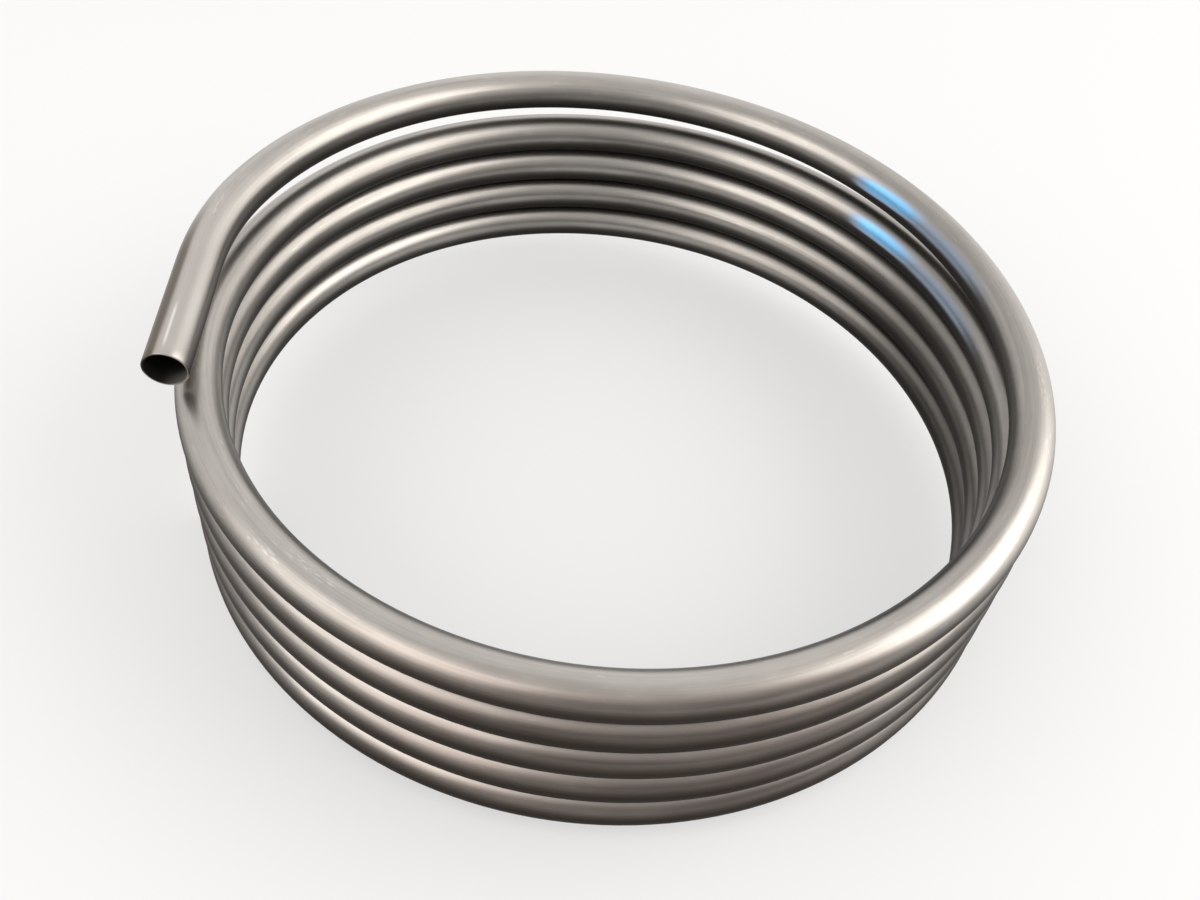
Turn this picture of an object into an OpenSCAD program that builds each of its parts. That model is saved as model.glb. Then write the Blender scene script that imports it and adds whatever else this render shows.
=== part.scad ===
// A steel tube wound into a close right-handed coil that stands on its lowest turn.
// The coil is a chain of true quarter-circle bends. Each starts where the one before it
// ends, in the same direction and in a plane rolled a little about the tube, which is
// what makes the coil climb. The upper end has sprung up and out a little, and ends in
// a short straight lead.
// +Z runs up the coil's axis, the lead points along -Y, and z = 0 is where the coil stands.

/* [Tube] */
// Outside diameter of the tube
tube_od = 19; // [12:0.5:25]
// Thickness of the tube's wall
tube_wall = 1; // [0.6:0.1:2.5]

/* [Coil] */
// Radius of the coil, from its axis to the middle of the tube
coil_radius = 181; // [140:1:300]
// Turns from the lower end up to the bend into the lead
coil_turns = 4.91; // [2:0.01:8]
// Clear gap between one turn and the next
turn_gap = 0.2; // [0.1:0.1:8]

/* [Sprung top turn] */
// How far the top turn has sprung up, at its end
spring_rise = 7.5; // [0:0.5:40]
// How far the top turn has sprung outwards, at its end
spring_swing = 3.8; // [0:0.2:30]

/* [Lead] */
// Length of the straight lead at the upper end
lead_length = 60; // [30:1:200]
// Radius of the bend into the lead, to the middle of the tube
lead_bend_radius = 156; // [60:1:180]
// Clear gap between the lead's end and the turn under it
lead_gap = 2; // [0.8:0.1:10]

/* [Hidden] */
$fn = 96;

// Each joint's circle must fit the next bend's far more closely than the last digit that
// a turned frame is written with. So the bends are quarter circles, the bend into the
// lead turns by an angle whose cosine and sine are short decimals, and a small roll
// about the tube is one whose cosine has this many steps to the unit.
roll_grain = 1000000;
lead_bend_cos = 0.936;
lead_bend_sin = 0.352;
// The larger roll before the lead is taken in steps whose cosine and sine are short
// decimals too, and a small remainder
lead_roll_cos = 0.99712;
lead_roll_sin = 0.07584;
// Share of the springing up that comes in at each of the last four bends, in thirteenths
// of the whole, as their leverage on the tube's end is 0, 1, 2 and 1
rise_shares = [1, 2, 3, 5];
rise_whole = 13;
// Share of the springing out that comes in at each of the last four bends
swing_shares = [0, 0, 0.4, 0.6];
// Angle of the bend from which the bend into the lead is cut
lead_bend_blank = 45;
// Extra length that cuts the bore through both ends of the lead
cut_through = 1;

bore_d = tube_od - 2 * tube_wall;
pitch = tube_od + turn_gap;
lead_bend_angle = atan2(lead_bend_sin, lead_bend_cos);

// The nearest angle whose cosine is on the grain
function on_grain(angle) = sign(angle) * acos(round(cos(angle) * roll_grain) / roll_grain);

// Angle round the coil that one bend covers, from the roll of a chain of like bends
nominal_roll = 2 * asin(pitch / 4 * sin(45) / norm([pitch / 4, sqrt(2) * coil_radius]));
bend_step = 2 * acos(cos(45) * cos(nominal_roll / 2));
bend_rise = pitch * bend_step / 360;
chord = norm([bend_rise, 2 * coil_radius * sin(bend_step / 2)]);
bend_radius = round(chord / sqrt(2) * 1000) / 1000;
bend_roll = on_grain(2 * asin(bend_rise * sin(bend_step / 2) / chord));
start_climb = atan(bend_rise / (2 * coil_radius * tan(bend_step / 2)));

// Whole bends, and the angle of the shorter bend below them
bend_count = ceil(coil_turns * 4) - 1;
first_angle = coil_turns * 360 - bend_count * bend_step;

// Place of a bend among the last four, or less than 0 for those below them
function sprung(i) = i - (bend_count - 4);

function radius_of(i) =
    bend_radius + (sprung(i) < 0 ? 0 : round(spring_swing * swing_shares[sprung(i)] * 1000) / 1000);

// Roll about the tube at the joint before a bend
function roll_of(i) =
    sprung(i) < 0
        ? bend_roll
        : on_grain(
            bend_roll + asin(spring_rise * rise_shares[sprung(i)] / rise_whole / coil_radius)
        );

// Frames in which the tube's middle is at the origin and runs along +Y, with the middle
// of the bend it enters at -X
function shifted(x) = [[1, 0, 0, x], [0, 1, 0, 0], [0, 0, 1, 0], [0, 0, 0, 1]];
function turned(angle) = [
    [cos(angle), -sin(angle), 0, 0],
    [sin(angle), cos(angle), 0, 0],
    [0, 0, 1, 0],
    [0, 0, 0, 1]
];
function rolled(angle) = [
    [cos(angle), 0, sin(angle), 0],
    [0, 1, 0, 0],
    [-sin(angle), 0, cos(angle), 0],
    [0, 0, 0, 1]
];
function tilted(angle) = [
    [1, 0, 0, 0],
    [0, cos(angle), -sin(angle), 0],
    [0, sin(angle), cos(angle), 0],
    [0, 0, 0, 1]
];
function bend_end(radius) = shifted(-radius) * turned(90) * shifted(radius);
function on_bend(radius, angle) = [radius * (cos(angle) - 1), radius * sin(angle), 0, 1];

// The frame of each whole bend, before the coil is turned and raised into place
start_frame = shifted(coil_radius) * tilted(start_climb) * rolled(bend_roll / 2);
frames = [
    for (
        i = 0, frame = start_frame;
        i < bend_count;
        frame = i + 1 < bend_count ? frame * bend_end(radius_of(i)) * rolled(roll_of(i + 1)) : frame,
        i = i + 1
    ) frame
];
top_frame = frames[bend_count - 1] * bend_end(radius_of(bend_count - 1));

// Middle of the tube at an angle round the coil from the first joint
function centreline(angle) =
    let (i = floor(angle / bend_step))
    frames[i] * on_bend(radius_of(i), (angle / bend_step - i) * 90);

// The end of the lead, from the joint before its bend, for a roll at that joint
lead_in = lead_bend_radius * (1 - lead_bend_cos) + lead_length * lead_bend_sin;
lead_on = lead_bend_radius * lead_bend_sin + lead_length * lead_bend_cos;
function lead_end(roll) = top_frame * rolled(roll) * [-lead_in, lead_on, 0, 1];

// Roll that lets the lead's end clear the turn under it, given about where that end is
function clearing_roll(end) =
    let (
        round_from_top = atan2(end.y, end.x) - atan2(top_frame[1][3], top_frame[0][3]),
        within_turn = round_from_top - 360 * floor(round_from_top / 360),
        under = centreline(bend_count * bend_step - 360 + within_turn),
        overhang = norm([end.x, end.y]) - norm([under.x, under.y]),
        end_z = under.z + sqrt(max(0, pow(tube_od + lead_gap, 2) - pow(overhang, 2))),
        needed = end_z - top_frame[2][3] - top_frame[2][1] * lead_on,
        leverage = lead_in * norm([top_frame[2][0], top_frame[2][2]])
    )
    atan2(top_frame[2][0], top_frame[2][2]) + asin(max(-1, min(1, needed / leverage)));

first_guess = clearing_roll(lead_end(0));
wanted_roll = clearing_roll(lead_end(first_guess));
lead_roll_step = atan2(lead_roll_sin, lead_roll_cos);
lead_roll_steps = round(wanted_roll / lead_roll_step);
lead_roll_rest = on_grain(wanted_roll - lead_roll_steps * lead_roll_step);
lead_roll = lead_roll_steps * lead_roll_step + lead_roll_rest;

// Turn about +Z that points the lead along -Y, and height at which the coil stands on z = 0
lead_dir = top_frame * rolled(lead_roll) * [-lead_bend_sin, lead_bend_cos, 0, 0];
start_turn = -90 - atan2(lead_dir.y, lead_dir.x);
lower_end = start_frame * rolled(-bend_roll) * on_bend(bend_radius, -first_angle);
start_height = tube_od / 2 - lower_end.z;

// Cross-section of the tube
module ring() {
    difference() {
        circle(d = tube_od);
        circle(d = bore_d);
    }
}

// A bend from the joint at the origin, which the tube leaves along +Y
module bend(radius, angle) {
    translate([-radius, 0, 0])
        rotate_extrude(angle = angle)
            translate([radius, 0])
                ring();
}

// Puts its children at the end of a quarter bend
module past_bend(radius) {
    translate([-radius, 0, 0])
        rotate([0, 0, 90])
            translate([radius, 0, 0])
                children();
}

// Rolls its children about the tube in equal small steps
module roll_in_steps(step, steps) {
    if (steps > 0)
        rotate([0, step, 0])
            roll_in_steps(step, steps - 1)
                children();
    else
        children();
}

// The bend out of the coil, and the straight lead with its open square-cut mouth
module lead() {
    reach = lead_bend_radius + tube_od;
    translate([-lead_bend_radius, 0, 0]) {
        intersection() {
            translate([lead_bend_radius, 0, 0])
                bend(lead_bend_radius, lead_bend_blank);
            rotate([0, 0, lead_bend_angle])
                translate([0, -reach, -tube_od])
                    cube([reach, reach, 2 * tube_od]);
        }
        rotate([0, 0, lead_bend_angle])
            translate([lead_bend_radius, 0, 0])
                rotate([-90, 0, 0])
                    difference() {
                        cylinder(h = lead_length, d = tube_od);
                        translate([0, 0, -cut_through])
                            cylinder(h = lead_length + 2 * cut_through, d = bore_d);
                    }
    }
}

// Whole bends from one of them up, and the lead at their end
module bends_from(i) {
    bend(radius_of(i), 90);
    past_bend(radius_of(i)) {
        if (i + 1 < bend_count)
            rotate([0, roll_of(i + 1), 0])
                bends_from(i + 1);
        else
            rotate([0, lead_roll_rest, 0])
                roll_in_steps(sign(lead_roll_steps) * lead_roll_step, abs(lead_roll_steps))
                    lead();
    }
}

// The shorter bend down to the lower end, and everything above it
module coiled_tube() {
    color([0.66, 0.63, 0.6])
        translate([0, 0, start_height])
            rotate([0, 0, start_turn])
                translate([coil_radius, 0, 0])
                    rotate([start_climb, 0, 0])
                        rotate([0, bend_roll / 2, 0]) {
                            rotate([0, -bend_roll, 0])
                                mirror([0, 1, 0])
                                    bend(bend_radius, first_angle);
                            bends_from(0);
                        }
}

coiled_tube();
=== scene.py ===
"""Looks of the coiled steel tube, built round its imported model.

The tube is swept again along the part's own chain of bends, as one closed skin with an
even grid, so that light runs smoothly along it and the draw marks can follow it.
"""

import math
from types import SimpleNamespace

import bpy
import numpy as np
from mathutils import Matrix, Vector


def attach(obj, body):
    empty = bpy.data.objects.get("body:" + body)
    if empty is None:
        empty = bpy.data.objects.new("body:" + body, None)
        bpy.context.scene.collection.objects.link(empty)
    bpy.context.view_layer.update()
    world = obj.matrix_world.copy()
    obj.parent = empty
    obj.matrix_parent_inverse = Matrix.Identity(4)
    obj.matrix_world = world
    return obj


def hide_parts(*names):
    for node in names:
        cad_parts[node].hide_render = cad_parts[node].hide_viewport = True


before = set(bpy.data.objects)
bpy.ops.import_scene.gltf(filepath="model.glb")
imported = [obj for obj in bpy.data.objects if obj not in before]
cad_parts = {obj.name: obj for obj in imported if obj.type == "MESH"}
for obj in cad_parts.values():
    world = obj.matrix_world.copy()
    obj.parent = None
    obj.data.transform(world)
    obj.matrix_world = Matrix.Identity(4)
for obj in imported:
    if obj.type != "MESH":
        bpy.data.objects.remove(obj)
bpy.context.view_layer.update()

# Sizes of the part, in metres
TUBE_OD = 0.019
TUBE_WALL = 0.001
COIL_RADIUS = 0.181
COIL_TURNS = 4.91
TURN_GAP = 0.0002
SPRING_RISE = 0.0075
SPRING_SWING = 0.0038
LEAD_LENGTH = 0.060
LEAD_BEND_RADIUS = 0.156
# Angle of the bend into the lead, and the roll about the tube before it that lets the lead
# clear the turn below, as the part works it out
LEAD_BEND = math.atan2(0.352, 0.936)
LEAD_ROLL = math.radians(-15.7157)
# Shares of the springing up and out that come in at each of the last four bends
RISE_SHARES = [1 / 13, 2 / 13, 3 / 13, 5 / 13]
SWING_SHARES = [0, 0, 0.4, 0.6]

# Grid of the skin. The bore has a ring for every third one of the outside
SIDES = 48
RINGS_PER_QUARTER = 45
LEAD_RINGS = 14
BORE_RING_STEP = 3
# Round on the square-cut ends, and where its rings lie, as shares of it
EDGE_ROUNDING = 0.00022
EDGE_STEPS = [0, 0.12, 0.4, 1]
# How far the skin lies under the part's surface, so that its facets never stick out
SKIN_INSET = 0.00002

# Painted shade on the turns' flanks and undersides, for the dark surroundings they reflect: how free of
# it the tube is, from 0 to 1, at heights from its underside, at -1, to its top, at 1
OUTER_PAINTED_SHADE_STEPS = [
    (-1, 0), (-0.1, 0), (0.1, 0.02), (0.3, 0.09), (0.45, 0.21), (0.6, 0.46), (0.76, 0.82), (0.9, 1),
]
INNER_PAINTED_SHADE_STEPS = [(-1, 0), (-0.2, 0.02), (0.05, 0.08), (0.22, 0.2), (0.36, 0.52), (0.5, 0.85), (0.65, 1)]
# How far up the ramps those heights are moved, towards less painted shade, on the coil's outer side and
# on its inner side, where "top_front" is the top turn's part of the front
OUTER_PAINTED_SHADE_SHIFTS = {"top": 0.1, "right": 0.06, "back": 0.5}
INNER_PAINTED_SHADE_SHIFTS = {"back": 0.24, "right": -0.04, "front": 0.2, "top_front": -0.5}

# Places along the tube from its lower end, in metres
TOP_TURN_START = 4.45
TOP_TURN_FULL = 4.60
LEAD_START = 5.60
LEAD_FULL = 5.65
MOUTH = 5.7069
# Painted blue reflection on the inner side of the coil, two patches with a faint tail each: where along
# the tube it starts, is full, is full no more, and ends; then how high up the tube its middle
# is, how that changes per metre along the tube, and how strong it is
BLUE_REFLECTIONS = [
    (5.147, 5.198, 5.205, 5.230, 0.31, -4.0, 1.0),
    (5.070, 5.150, 5.175, 5.205, 0.40, -3.0, 0.30),
    (4.000, 4.060, 4.066, 4.088, 0.40, -1.0, 0.9),
    (3.930, 4.000, 4.030, 4.065, 0.40, -1.0, 0.30),
]
# Patches of fine scuffs: where each starts and ends along the tube, and how far out from the
# tube's middle it lies
SCUFFS = [
    (4.656, 4.690, -0.0008),
    (5.036, 5.074, 0.0022),
    (5.606, 5.630, 0.0),
    (4.640, 4.668, 0.0045),
]
SCUFF_FADE = 0.008

# Linear colours of the steel, of what lies on it, and of the painted shade, light and reflection
STEEL = [(0.503, 0.471, 0.440, 1), (0.633, 0.604, 0.571, 1)]
STREAK = (0.412, 0.382, 0.350, 1)
DRAW_LINE = (0.382, 0.357, 0.330, 1)
MOTTLE = (0.723, 0.690, 0.652, 1)
MARK = (0.80, 0.78, 0.74, 1)
FRONT_REDDISH_TINT = (0.446, 0.337, 0.298, 1)
FRESH_LEAD = (0.672, 0.636, 0.599, 1)
BROWN_STAIN = (0.11, 0.083, 0.056, 1)
# Painted shade along the top turn's inner edge at the front
TOP_INNER_EDGE_SHADE = (0.05, 0.046, 0.042, 1)
SCUFF = (0.85, 0.825, 0.785, 1)
# Painted shade on the inner and outer flanks and undersides of the turns
INNER_PAINTED_SHADE_COLOUR = (0.015, 0.013, 0.0113, 1)
OUTER_PAINTED_SHADE_COLOUR = (0.026, 0.0203, 0.0166, 1)
SCRATCH = (0.95, 0.93, 0.89, 1)
# Painted shade for the lower turns on the coil's inner right side
LOWER_TURNS_RIGHT_SHADE = (0.02, 0.018, 0.016, 1)
# Colours of the painted blue reflection, faint and full
BLUE_REFLECTION_COLOURS = [(0.36, 0.42, 0.53, 1), (0.27, 0.62, 1.0, 1)]
# Painted shade for the bore, and painted light just within the mouth
BORE_SHADE = (0.02, 0.018, 0.0155, 1)
BORE_MOUTH_LIGHT = (0.42, 0.39, 0.36, 1)

# Studio. Lamps are given as the direction they stand in, in degrees, then their distance, width
# and height in metres and their brightness, with white paper at 1
FLOOR_HALF = 8
FLOOR_DROP = 0.0001
FLOOR_GLOW = 0.5
WORLD_WHITE = (1.0, 0.99, 0.975, 1)
LAMP_WHITE = (1.0, 0.968, 0.92)
# Power per square metre that gives a softbox a brightness of 1
LAMP_POWER = 4
LAMPS = {
    "right_softbox": (0, 34, 2.6, 2.5, 2.6, 1.6),
    "left_softbox": (-143, 31, 2.6, 2.6, 2.4, 1.34),
}

# Camera, found by fitting the edges of all the turns in the photograph
PHOTO_WIDTH = 1200
FOCAL_PIXELS = 1181.58
CAMERA_AZIMUTH = math.radians(-5.408)
CAMERA_ELEVATION = math.radians(47.18)
CAMERA_ROLL = math.radians(7.925)
CAMERA_DISTANCE = 0.593603
CAMERA_RIGHT = -0.000811
CAMERA_UP = 0.012394


def shifted(x, y=0, z=0):
    return np.array(Matrix.Translation((x, y, z)))


def turned(angle, axis):
    return np.array(Matrix.Rotation(angle, 4, axis))


def bend_end(radius):
    """The frame at the end of a quarter bend, whose middle is at -X and which starts along +Y."""
    return shifted(-radius) @ turned(math.pi / 2, "Z") @ shifted(radius)


def along_bend(place, radius, start, end, count):
    """Middle and direction of the tube at even steps along a bend, without its end."""
    for angle in np.linspace(start, end, count, endpoint=False):
        point = [radius * (math.cos(angle) - 1), radius * math.sin(angle), 0, 1]
        direction = [-math.sin(angle), math.cos(angle), 0, 0]
        yield (place @ point)[:3], (place @ direction)[:3]


def tube_route():
    """Middle and direction of the tube, from its lower end to the mouth of the lead."""
    pitch = TUBE_OD + TURN_GAP
    eighth = math.pi / 4
    quarter_rise = pitch / 4
    across = math.hypot(quarter_rise, math.sqrt(2) * COIL_RADIUS)
    nominal = 2 * math.asin(quarter_rise * math.sin(eighth) / across)
    step = 2 * math.acos(math.cos(eighth) * math.cos(nominal / 2))
    rise = pitch * step / math.tau
    chord = math.hypot(rise, 2 * COIL_RADIUS * math.sin(step / 2))
    radius = chord / math.sqrt(2)
    roll = 2 * math.asin(rise * math.sin(step / 2) / chord)
    climb = math.atan(rise / (2 * COIL_RADIUS * math.tan(step / 2)))
    count = math.ceil(COIL_TURNS * 4) - 1
    first = COIL_TURNS * math.tau - count * step

    place = shifted(COIL_RADIUS) @ turned(climb, "X") @ turned(roll / 2, "Y")
    below = place @ turned(-roll, "Y")
    first_rings = round(RINGS_PER_QUARTER * first / (2 * eighth))
    stations = list(along_bend(below, radius, -first, 0, first_rings))
    for i in range(count):
        spring = i - (count - 4)
        if i and spring < 0:
            place = place @ turned(roll, "Y")
        elif spring >= 0:
            sprung_roll = math.asin(SPRING_RISE * RISE_SHARES[spring] / COIL_RADIUS)
            place = place @ turned(roll + sprung_roll, "Y")
        bend = radius + (SPRING_SWING * SWING_SHARES[spring] if spring >= 0 else 0)
        stations += along_bend(place, bend, 0, 2 * eighth, RINGS_PER_QUARTER)
        place = place @ bend_end(bend)
    place = place @ turned(LEAD_ROLL, "Y")
    stations += along_bend(place, LEAD_BEND_RADIUS, 0, LEAD_BEND, LEAD_RINGS)
    place = place @ shifted(-LEAD_BEND_RADIUS) @ turned(LEAD_BEND, "Z") @ shifted(LEAD_BEND_RADIUS)
    start, direction = place[:3, 3], place[:3, 1]
    stations += [
        (start + direction * along, direction)
        for along in np.linspace(0, LEAD_LENGTH, LEAD_RINGS + 1)
    ]

    points, directions = (np.array(values) for values in zip(*stations))
    points[:, 2] += TUBE_OD / 2 - points[0, 2]
    turn = turned(-math.pi / 2 - math.atan2(direction[1], direction[0]), "Z")[:3, :3]
    return points @ turn.T, directions @ turn.T


def station_lengths(points):
    """Distance along the tube at each station."""
    return np.concatenate([[0], np.cumsum(np.linalg.norm(np.diff(points, axis=0), axis=1))])


def with_edges(lengths):
    """The stations' lengths, with extra rings over the rounds at both ends."""
    steps = EDGE_ROUNDING * np.array(EDGE_STEPS)
    inner = lengths[(lengths > 2 * EDGE_ROUNDING) & (lengths < lengths[-1] - 2 * EDGE_ROUNDING)]
    return np.concatenate([steps, inner, lengths[-1] - steps[::-1]])


def wall_radius(at, length, radius, sign):
    """The wall's radius, less a small round at each square-cut end; sign is -1 for the bore."""
    gap = np.minimum(at, length - at)
    into = np.clip(EDGE_ROUNDING - gap, 0, EDGE_ROUNDING)
    return radius - sign * (EDGE_ROUNDING - np.sqrt(EDGE_ROUNDING**2 - into**2))


def make_tube():
    """The whole tube as one closed skin: outside, lead's mouth, bore, lower end."""
    points, directions = tube_route()
    lengths = station_lengths(points)
    total = lengths[-1]
    outside = with_edges(lengths)
    bore = with_edges(lengths[::BORE_RING_STEP])[::-1]
    at = np.concatenate([outside, bore])
    radius = np.concatenate([
        wall_radius(outside, total, TUBE_OD / 2 - SKIN_INSET, 1),
        wall_radius(bore, total, TUBE_OD / 2 - TUBE_WALL, -1),
    ])
    middle = np.stack([np.interp(at, lengths, points[:, k]) for k in range(3)], 1)
    along = np.stack([np.interp(at, lengths, directions[:, k]) for k in range(3)], 1)
    along /= np.linalg.norm(along, axis=1)[:, None]
    outward = np.cross(along, (0, 0, 1))
    outward /= np.linalg.norm(outward, axis=1)[:, None]
    upward = np.cross(outward, along)

    angles = np.arange(SIDES) * math.tau / SIDES
    out_part = radius[:, None] * np.cos(angles)
    up_part = radius[:, None] * np.sin(angles)
    rings = (
        middle[:, None]
        + out_part[..., None] * outward[:, None]
        + up_part[..., None] * upward[:, None]
    )

    count = len(at)
    ring = np.arange(count)[:, None] * SIDES
    next_ring = np.roll(ring, -1, axis=0)
    side = np.arange(SIDES)[None, :]
    next_side = (side + 1) % SIDES
    faces = np.stack([ring + side, ring + next_side, next_ring + next_side, next_ring + side], -1)

    mesh = bpy.data.meshes.new("steel_tube")
    mesh.from_pydata(rings.reshape(-1, 3), [], faces.reshape(-1, 4).tolist())
    mesh.polygons.foreach_set("use_smooth", [True] * len(mesh.polygons))
    skin = np.stack([np.repeat(at[:, None], SIDES, 1), out_part, up_part], -1)
    mesh.attributes.new("skin", "FLOAT_VECTOR", "POINT").data.foreach_set("vector", skin.ravel())
    inside = np.repeat(np.arange(count) >= len(outside), SIDES).astype(float)
    mesh.attributes.new("inside", "FLOAT", "POINT").data.foreach_set("value", inside)
    mesh.update()
    tube = bpy.data.objects.new("steel_tube", mesh)
    bpy.context.scene.collection.objects.link(tube)
    return tube


def grey(level):
    return (level, level, level, 1)


class Nodes:
    """Short calls for building a material's or the world's nodes."""

    def __init__(self, owner):
        owner.use_nodes = True
        self.tree = owner.node_tree
        self.tree.nodes.clear()

    def new(self, kind, inputs=None, **settings):
        node = self.tree.nodes.new("ShaderNode" + kind)
        for name, value in settings.items():
            setattr(node, name, value)
        for name, value in (inputs or {}).items():
            self.put(node.inputs[name], value)
        return node

    def put(self, socket, value):
        if isinstance(value, bpy.types.NodeSocket):
            self.tree.links.new(value, socket)
        else:
            socket.default_value = value

    def math(self, operation, *values, clamp=False):
        node = self.new("Math", dict(enumerate(values)), operation=operation, use_clamp=clamp)
        return node.outputs[0]

    def total(self, *values):
        result = values[0]
        for value in values[1:]:
            result = self.math("ADD", result, value)
        return result

    def product(self, *values):
        result = values[0]
        for value in values[1:]:
            result = self.math("MULTIPLY", result, value)
        return result

    def apart(self, value, middle):
        """How far a value lies from a middle one."""
        return self.math("ABSOLUTE", self.math("SUBTRACT", value, middle))

    def ramp(self, value, low, high, start=0.0, end=1.0, smooth=True):
        inputs = {"Value": value, "From Min": low, "From Max": high, "To Min": start, "To Max": end}
        kind = "SMOOTHSTEP" if smooth else "LINEAR"
        return self.new("MapRange", inputs, interpolation_type=kind).outputs[0]

    def mix(self, factor, first, second):
        node = self.new("Mix", {0: factor, 6: first, 7: second}, data_type="RGBA")
        return node.outputs[2]

    def steps(self, value, stops):
        """A ramp through grey levels, with the value's range of -1 to 1 laid over it."""
        node = self.new("ValToRGB", {0: self.ramp(value, -1, 1, smooth=False)})
        elements = node.color_ramp.elements
        elements[0].color = grey(stops[0][1])
        elements[1].color = grey(stops[-1][1])
        elements[1].position = (stops[-1][0] + 1) / 2
        for position, level in stops[1:-1]:
            elements.new((position + 1) / 2).color = grey(level)
        return node.outputs[0]

    def noise(self, vector, scale, detail=3.0, roughness=0.5):
        stretched = self.new("VectorMath", {0: vector, 1: scale}, operation="MULTIPLY").outputs[0]
        inputs = {"Vector": stretched, "Scale": 1.0, "Detail": detail, "Roughness": roughness}
        return self.new("TexNoise", inputs).outputs["Fac"]


def find_places(n):
    """Where a point lies on the tube and round the coil."""
    skin = n.new("Attribute", attribute_name="skin").outputs["Vector"]
    at, out_part, up_part = n.new("SeparateXYZ", {0: skin}).outputs
    right, back, level = n.new("SeparateXYZ", {0: n.new("TexCoord").outputs["Object"]}).outputs
    back = n.math("DIVIDE", back, COIL_RADIUS)
    outer = n.ramp(out_part, -0.3 * TUBE_OD, 0.3 * TUBE_OD)
    return SimpleNamespace(
        skin=skin,
        at=at,
        out_part=out_part,
        # From -1 on the tube's underside to 1 on its top
        height=n.math("DIVIDE", up_part, TUBE_OD / 2),
        # Round the coil, from -1 to 1, and up from the floor in metres
        right=n.math("DIVIDE", right, COIL_RADIUS),
        back=back,
        level=level,
        outer=outer,
        inner=n.math("SUBTRACT", 1, outer),
        at_front=n.ramp(back, -0.1, -0.8),
        top_turn=n.ramp(at, TOP_TURN_START, TOP_TURN_FULL),
    )


def find_grains(n, skin):
    """Noises stretched along the tube, from fine draw lines to broad patches."""
    return SimpleNamespace(
        lines=n.noise(skin, (5, 1500, 1500), 4.0, 0.6),
        streaks=n.noise(skin, (9, 260, 260), 3.0, 0.55),
        patches=n.noise(skin, (14, 60, 60), 3.0, 0.6),
        mottle=n.noise(skin, (70, 260, 260), 2.0, 0.6),
        marks=n.noise(skin, (120, 900, 900), 2.0),
        scuffs=n.noise(skin, (260, 1300, 1300), 2.0),
    )


def drawn_steel(n, grains):
    """Colour of the clean steel."""
    colour = n.mix(grains.patches, *STEEL)
    colour = n.mix(n.ramp(grains.streaks, 0.35, 0.7, 0.0, 0.5), colour, STREAK)
    colour = n.mix(n.ramp(grains.lines, 0.4, 0.65, 0.0, 0.34), colour, DRAW_LINE)
    colour = n.mix(n.ramp(grains.mottle, 0.35, 0.7, 0.0, 0.16), colour, MOTTLE)
    return n.mix(n.product(n.ramp(grains.marks, 0.66, 0.76), 0.4), colour, MARK)


def free_of_painted_shade(n, places, grains):
    """How free of painted shade the steel is: the shade is painted on the flanks and undersides of the
    turns, for the dark surroundings they reflect.
    """
    wander = n.math("MULTIPLY_ADD", n.math("SUBTRACT", grains.patches, 0.5), 0.25, places.height)
    wander = n.math("MULTIPLY_ADD", n.math("SUBTRACT", grains.streaks, 0.5), 0.15, wander)
    outer_height = n.total(
        wander,
        n.product(places.top_turn, OUTER_PAINTED_SHADE_SHIFTS["top"]),
        n.ramp(places.right, 0.3, 0.9, 0, OUTER_PAINTED_SHADE_SHIFTS["right"]),
        n.ramp(places.back, -0.15, 0.5, 0, OUTER_PAINTED_SHADE_SHIFTS["back"]),
    )
    inner_height = n.total(
        wander,
        n.ramp(places.back, 0.3, 0.8, 0, INNER_PAINTED_SHADE_SHIFTS["back"]),
        n.ramp(places.right, 0.45, 0.95, 0, INNER_PAINTED_SHADE_SHIFTS["right"]),
        n.product(places.at_front, INNER_PAINTED_SHADE_SHIFTS["front"]),
        n.product(places.at_front, places.top_turn, INNER_PAINTED_SHADE_SHIFTS["top_front"]),
    )
    unshaded = n.mix(
        places.outer, n.steps(inner_height, INNER_PAINTED_SHADE_STEPS), n.steps(outer_height, OUTER_PAINTED_SHADE_STEPS)
    )
    # The lead's underside is kept free of the painted shade
    under_lead = n.product(
        n.ramp(places.at, LEAD_START, LEAD_FULL, 0, 0.75),
        n.ramp(places.height, -0.1, -0.5),
    )
    return n.math("MAXIMUM", unshaded, under_lead)


def add_tints_stain_and_edge_shade(n, places, grains, colour):
    """A reddish tint on the coil's front, a brighter lead with a brown stain, and painted shade along
    the top turn's inner edge.
    """
    # A reddish tint on the upper part of the coil's outer front
    red = n.product(
        places.outer, n.ramp(places.back, -0.8, -1.0, 0, 0.42), n.ramp(places.height, 0.98, 0.75)
    )
    colour = n.mix(red, colour, FRONT_REDDISH_TINT)
    fresh = n.ramp(places.at, LEAD_START - 0.03, LEAD_START + 0.04, 0, 0.6)
    colour = n.mix(fresh, colour, FRESH_LEAD)
    # The stain runs down the lead's outer side, with an uneven upper edge
    uneven_height = n.math("MULTIPLY_ADD", grains.streaks, 0.1, places.height)
    stain = n.product(
        places.outer,
        n.ramp(places.at, LEAD_START, LEAD_FULL, 0, 0.9),
        n.ramp(uneven_height, 1.06, 0.96),
        n.ramp(places.height, -0.2, 0.3),
    )
    colour = n.mix(stain, colour, BROWN_STAIN)
    # Painted shade along the inner side of the top turn, at the front
    edge = n.product(
        places.top_turn, places.at_front, places.inner, n.ramp(places.height, 0.92, 0.7, 0, 0.8)
    )
    return n.mix(edge, colour, TOP_INNER_EDGE_SHADE)


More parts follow.
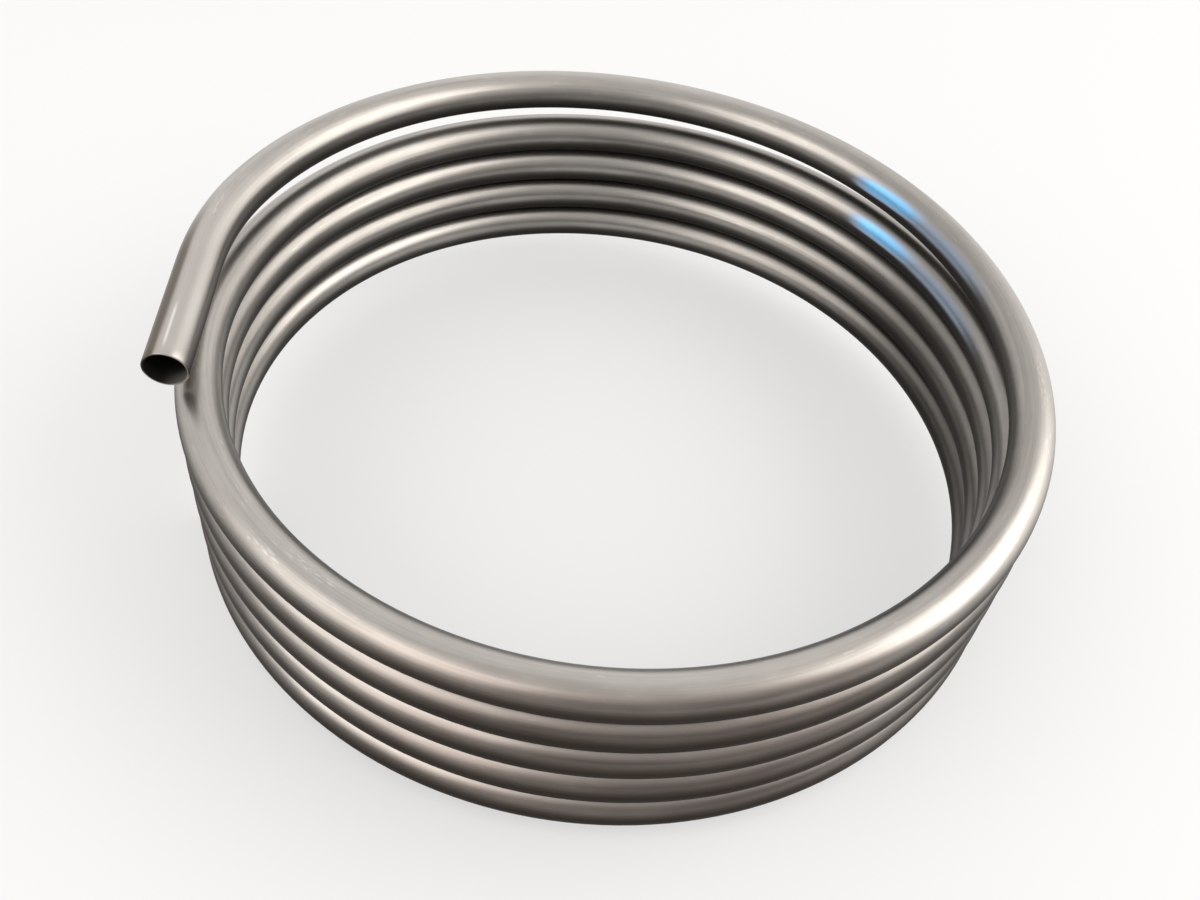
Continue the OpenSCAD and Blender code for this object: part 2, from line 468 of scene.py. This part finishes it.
def add_scuffs(n, places, grains, colour):
    """Patches of short bright scuffs along the tops of the turns."""
    grain = n.ramp(grains.scuffs, 0.5, 0.62)
    on_top = n.ramp(places.height, 0.5, 0.8)
    for start, end, middle in SCUFFS:
        scuff = n.product(
            n.ramp(places.at, start, start + SCUFF_FADE),
            n.ramp(places.at, end, end - SCUFF_FADE),
            n.ramp(n.apart(places.out_part, middle), 0.0024, 0.0006, 0, 0.4),
            grain,
            on_top,
        )
        colour = n.mix(scuff, colour, SCUFF)
    return colour


def add_scratch(n, places, colour):
    """A bright scratch along the top of the lead, close to its mouth."""
    scratch = n.product(
        n.ramp(places.at, MOUTH - 0.031, MOUTH - 0.023),
        n.ramp(places.at, MOUTH - 0.003, MOUTH - 0.009),
        n.ramp(n.apart(places.out_part, 0), 0.0009, 0.0002, 0, 0.85),
        n.ramp(places.height, 0.5, 0.9),
    )
    return n.mix(scratch, colour, SCRATCH)


def painted_blue_reflection(n, places):
    """Strength of the painted blue reflection."""
    glint = 0
    for start, full, full_end, end, middle, drift, strength in BLUE_REFLECTIONS:
        centre = n.math("MULTIPLY_ADD", n.math("SUBTRACT", places.at, full), drift, middle)
        across = n.ramp(n.apart(places.height, centre), 0.5, 0.08, 0, strength)
        rise = n.math("POWER", n.ramp(places.at, start, full), 2)
        patch = n.product(across, rise, n.ramp(places.at, end, full_end))
        glint = n.math("MAXIMUM", glint, patch)
    return n.product(glint, places.inner)


def steel_material():
    """Satin drawn steel, with what has come onto it, painted shade on its flanks and undersides, a
    painted blue reflection, and a bore painted dark as shade.
    """
    material = bpy.data.materials.new("satin_drawn_steel")
    n = Nodes(material)
    places = find_places(n)
    grains = find_grains(n, places.skin)
    unshaded = free_of_painted_shade(n, places, grains)

    colour = add_tints_stain_and_edge_shade(n, places, grains, drawn_steel(n, grains))
    colour = add_scuffs(n, places, grains, colour)
    # Painted shade: the turns' flanks and undersides darken towards near-black
    colour = n.mix(unshaded, n.mix(places.outer, INNER_PAINTED_SHADE_COLOUR, OUTER_PAINTED_SHADE_COLOUR), colour)
    colour = add_scratch(n, places, colour)
    # Painted shade: the lower turns are darker on the inner side of the coil's right
    lower_right_shade = n.product(
        n.ramp(places.right, 0.35, 0.95), n.ramp(places.level, 0.105, 0.01, 0.28, 0.74), places.inner
    )
    colour = n.mix(lower_right_shade, colour, LOWER_TURNS_RIGHT_SHADE)
    # Painted blue reflection on the coil's inner side
    glint = painted_blue_reflection(n, places)
    colour = n.mix(n.ramp(glint, 0, 0.35), colour, n.mix(n.ramp(glint, 0.2, 0.85), *BLUE_REFLECTION_COLOURS))

    # The bore is painted dark as shade, with painted light on its inner side just within the lead's
    # mouth, where it is also a little metallic
    inside = n.new("Attribute", attribute_name="inside").outputs["Fac"]
    lit_mouth = n.product(
        n.ramp(places.at, MOUTH - 0.009, MOUTH - 0.001, 0, 0.5), n.ramp(places.out_part, 0.004, -0.006)
    )
    colour = n.mix(inside, colour, n.mix(lit_mouth, BORE_SHADE, BORE_MOUTH_LIGHT))
    bare = n.mix(inside, n.ramp(n.math("MAXIMUM", unshaded, glint), 0.04, 0.42), lit_mouth)

    rough = n.total(n.ramp(grains.streaks, 0.3, 0.7, 0.30, 0.40), n.product(grains.lines, 0.06))
    fine = n.new("Bump", {"Height": grains.lines, "Strength": 0.25, "Distance": 0.00004})
    broad = n.new("Bump", {
        "Height": grains.patches, "Strength": 0.12, "Distance": 0.0012, "Normal": fine.outputs[0],
    })
    surface = n.new("BsdfPrincipled", {
        "Base Color": colour, "Metallic": bare, "Roughness": rough, "Normal": broad.outputs[0],
        "Specular IOR Level": 0.015,
    })
    n.new("OutputMaterial", {"Surface": surface.outputs[0]})
    return material


def place_camera():
    """The camera as fitted to the photograph, rolled and slightly off the coil's axis."""
    azimuth, elevation, roll = CAMERA_AZIMUTH, CAMERA_ELEVATION, CAMERA_ROLL
    back = Vector((
        math.cos(elevation) * math.sin(azimuth),
        -math.cos(elevation) * math.cos(azimuth),
        math.sin(elevation),
    ))
    level = Vector((math.cos(azimuth), math.sin(azimuth), 0))
    above = back.cross(level)
    right = math.cos(roll) * level + math.sin(roll) * above
    up = math.cos(roll) * above - math.sin(roll) * level
    camera = bpy.data.objects.new("camera", bpy.data.cameras.new("camera"))
    camera.data.sensor_width = 36
    camera.data.lens = FOCAL_PIXELS / PHOTO_WIDTH * camera.data.sensor_width
    camera.data.clip_start = 0.01
    camera.data.clip_end = 100
    turn = Matrix((right, up, back)).transposed().to_4x4()
    place = back * CAMERA_DISTANCE + right * CAMERA_RIGHT + up * CAMERA_UP
    camera.matrix_world = Matrix.Translation(place) @ turn
    bpy.context.scene.collection.objects.link(camera)
    bpy.context.scene.camera = camera


def make_floor():
    """A plain pale floor just under the coil."""
    mesh = bpy.data.meshes.new("floor")
    half = FLOOR_HALF
    corners = [(-half, -half, 0), (half, -half, 0), (half, half, 0), (-half, half, 0)]
    mesh.from_pydata(corners, [], [(0, 1, 2, 3)])
    floor = bpy.data.objects.new("floor", mesh)
    floor.location.z = -FLOOR_DROP
    bpy.context.scene.collection.objects.link(floor)
    material = bpy.data.materials.new("pale_floor")
    n = Nodes(material)
    paper = n.new("BsdfPrincipled", {
        "Base Color": grey(0.9), "Roughness": 0.9, "Specular IOR Level": 0.1,
    })
    # What the camera and the steel see of it is whiter than the light on it alone would make it
    ray = n.new("LightPath").outputs
    mirrored = n.math("ADD", ray["Is Glossy Ray"], ray["Is Transmission Ray"])
    seen = n.math("ADD", ray["Is Camera Ray"], mirrored, clamp=True)
    white = n.new("Emission", {"Color": grey(1), "Strength": 1.0})
    glow = n.product(seen, FLOOR_GLOW)
    surface = n.new("MixShader", {0: glow, 1: paper.outputs[0], 2: white.outputs[0]})
    n.new("OutputMaterial", {"Surface": surface.outputs[0]})
    mesh.materials.append(material)


def light_world():
    """Soft studio surroundings, paler behind the coil than low down in front of it."""
    world = bpy.data.worlds.new("studio")
    bpy.context.scene.world = world
    n = Nodes(world)
    direction = n.new("TexCoord").outputs["Generated"]
    _, back, up = n.new("SeparateXYZ", {0: direction}).outputs
    front_low = n.product(n.ramp(back, 0.2, -0.6), n.ramp(up, 0.85, 0.05))
    level = n.product(n.ramp(back, -0.6, 1, 0.5, 0.95), n.ramp(front_low, 0, 1, 1, 0.42, smooth=False))
    background = n.new("Background", {"Color": n.mix(level, grey(0), WORLD_WHITE), "Strength": 1.0})
    n.new("OutputWorld", {"Surface": background.outputs[0]})


def soft_lamp(name, azimuth, elevation, distance, width, height, brightness):
    """A softbox that faces the coil."""
    data = bpy.data.lights.new(name, "AREA")
    data.shape = "RECTANGLE"
    data.size, data.size_y = width, height
    data.energy = LAMP_POWER * width * height * brightness
    data.color = LAMP_WHITE
    lamp = bpy.data.objects.new(name, data)
    azimuth, elevation = math.radians(azimuth), math.radians(elevation)
    away = Vector((
        math.cos(elevation) * math.cos(azimuth),
        math.cos(elevation) * math.sin(azimuth),
        math.sin(elevation),
    ))
    facing = away.to_track_quat("Z", "Y").to_matrix().to_4x4()
    lamp.matrix_world = Matrix.Translation(away * distance) @ facing
    bpy.context.scene.collection.objects.link(lamp)


tube = make_tube()
tube.data.materials.append(steel_material())
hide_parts("coiled_tube")
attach(tube, "root")

place_camera()
make_floor()
light_world()
for name, lamp in LAMPS.items():
    soft_lamp(name, *lamp)

bpy.context.scene.view_settings.view_transform = "Standard"
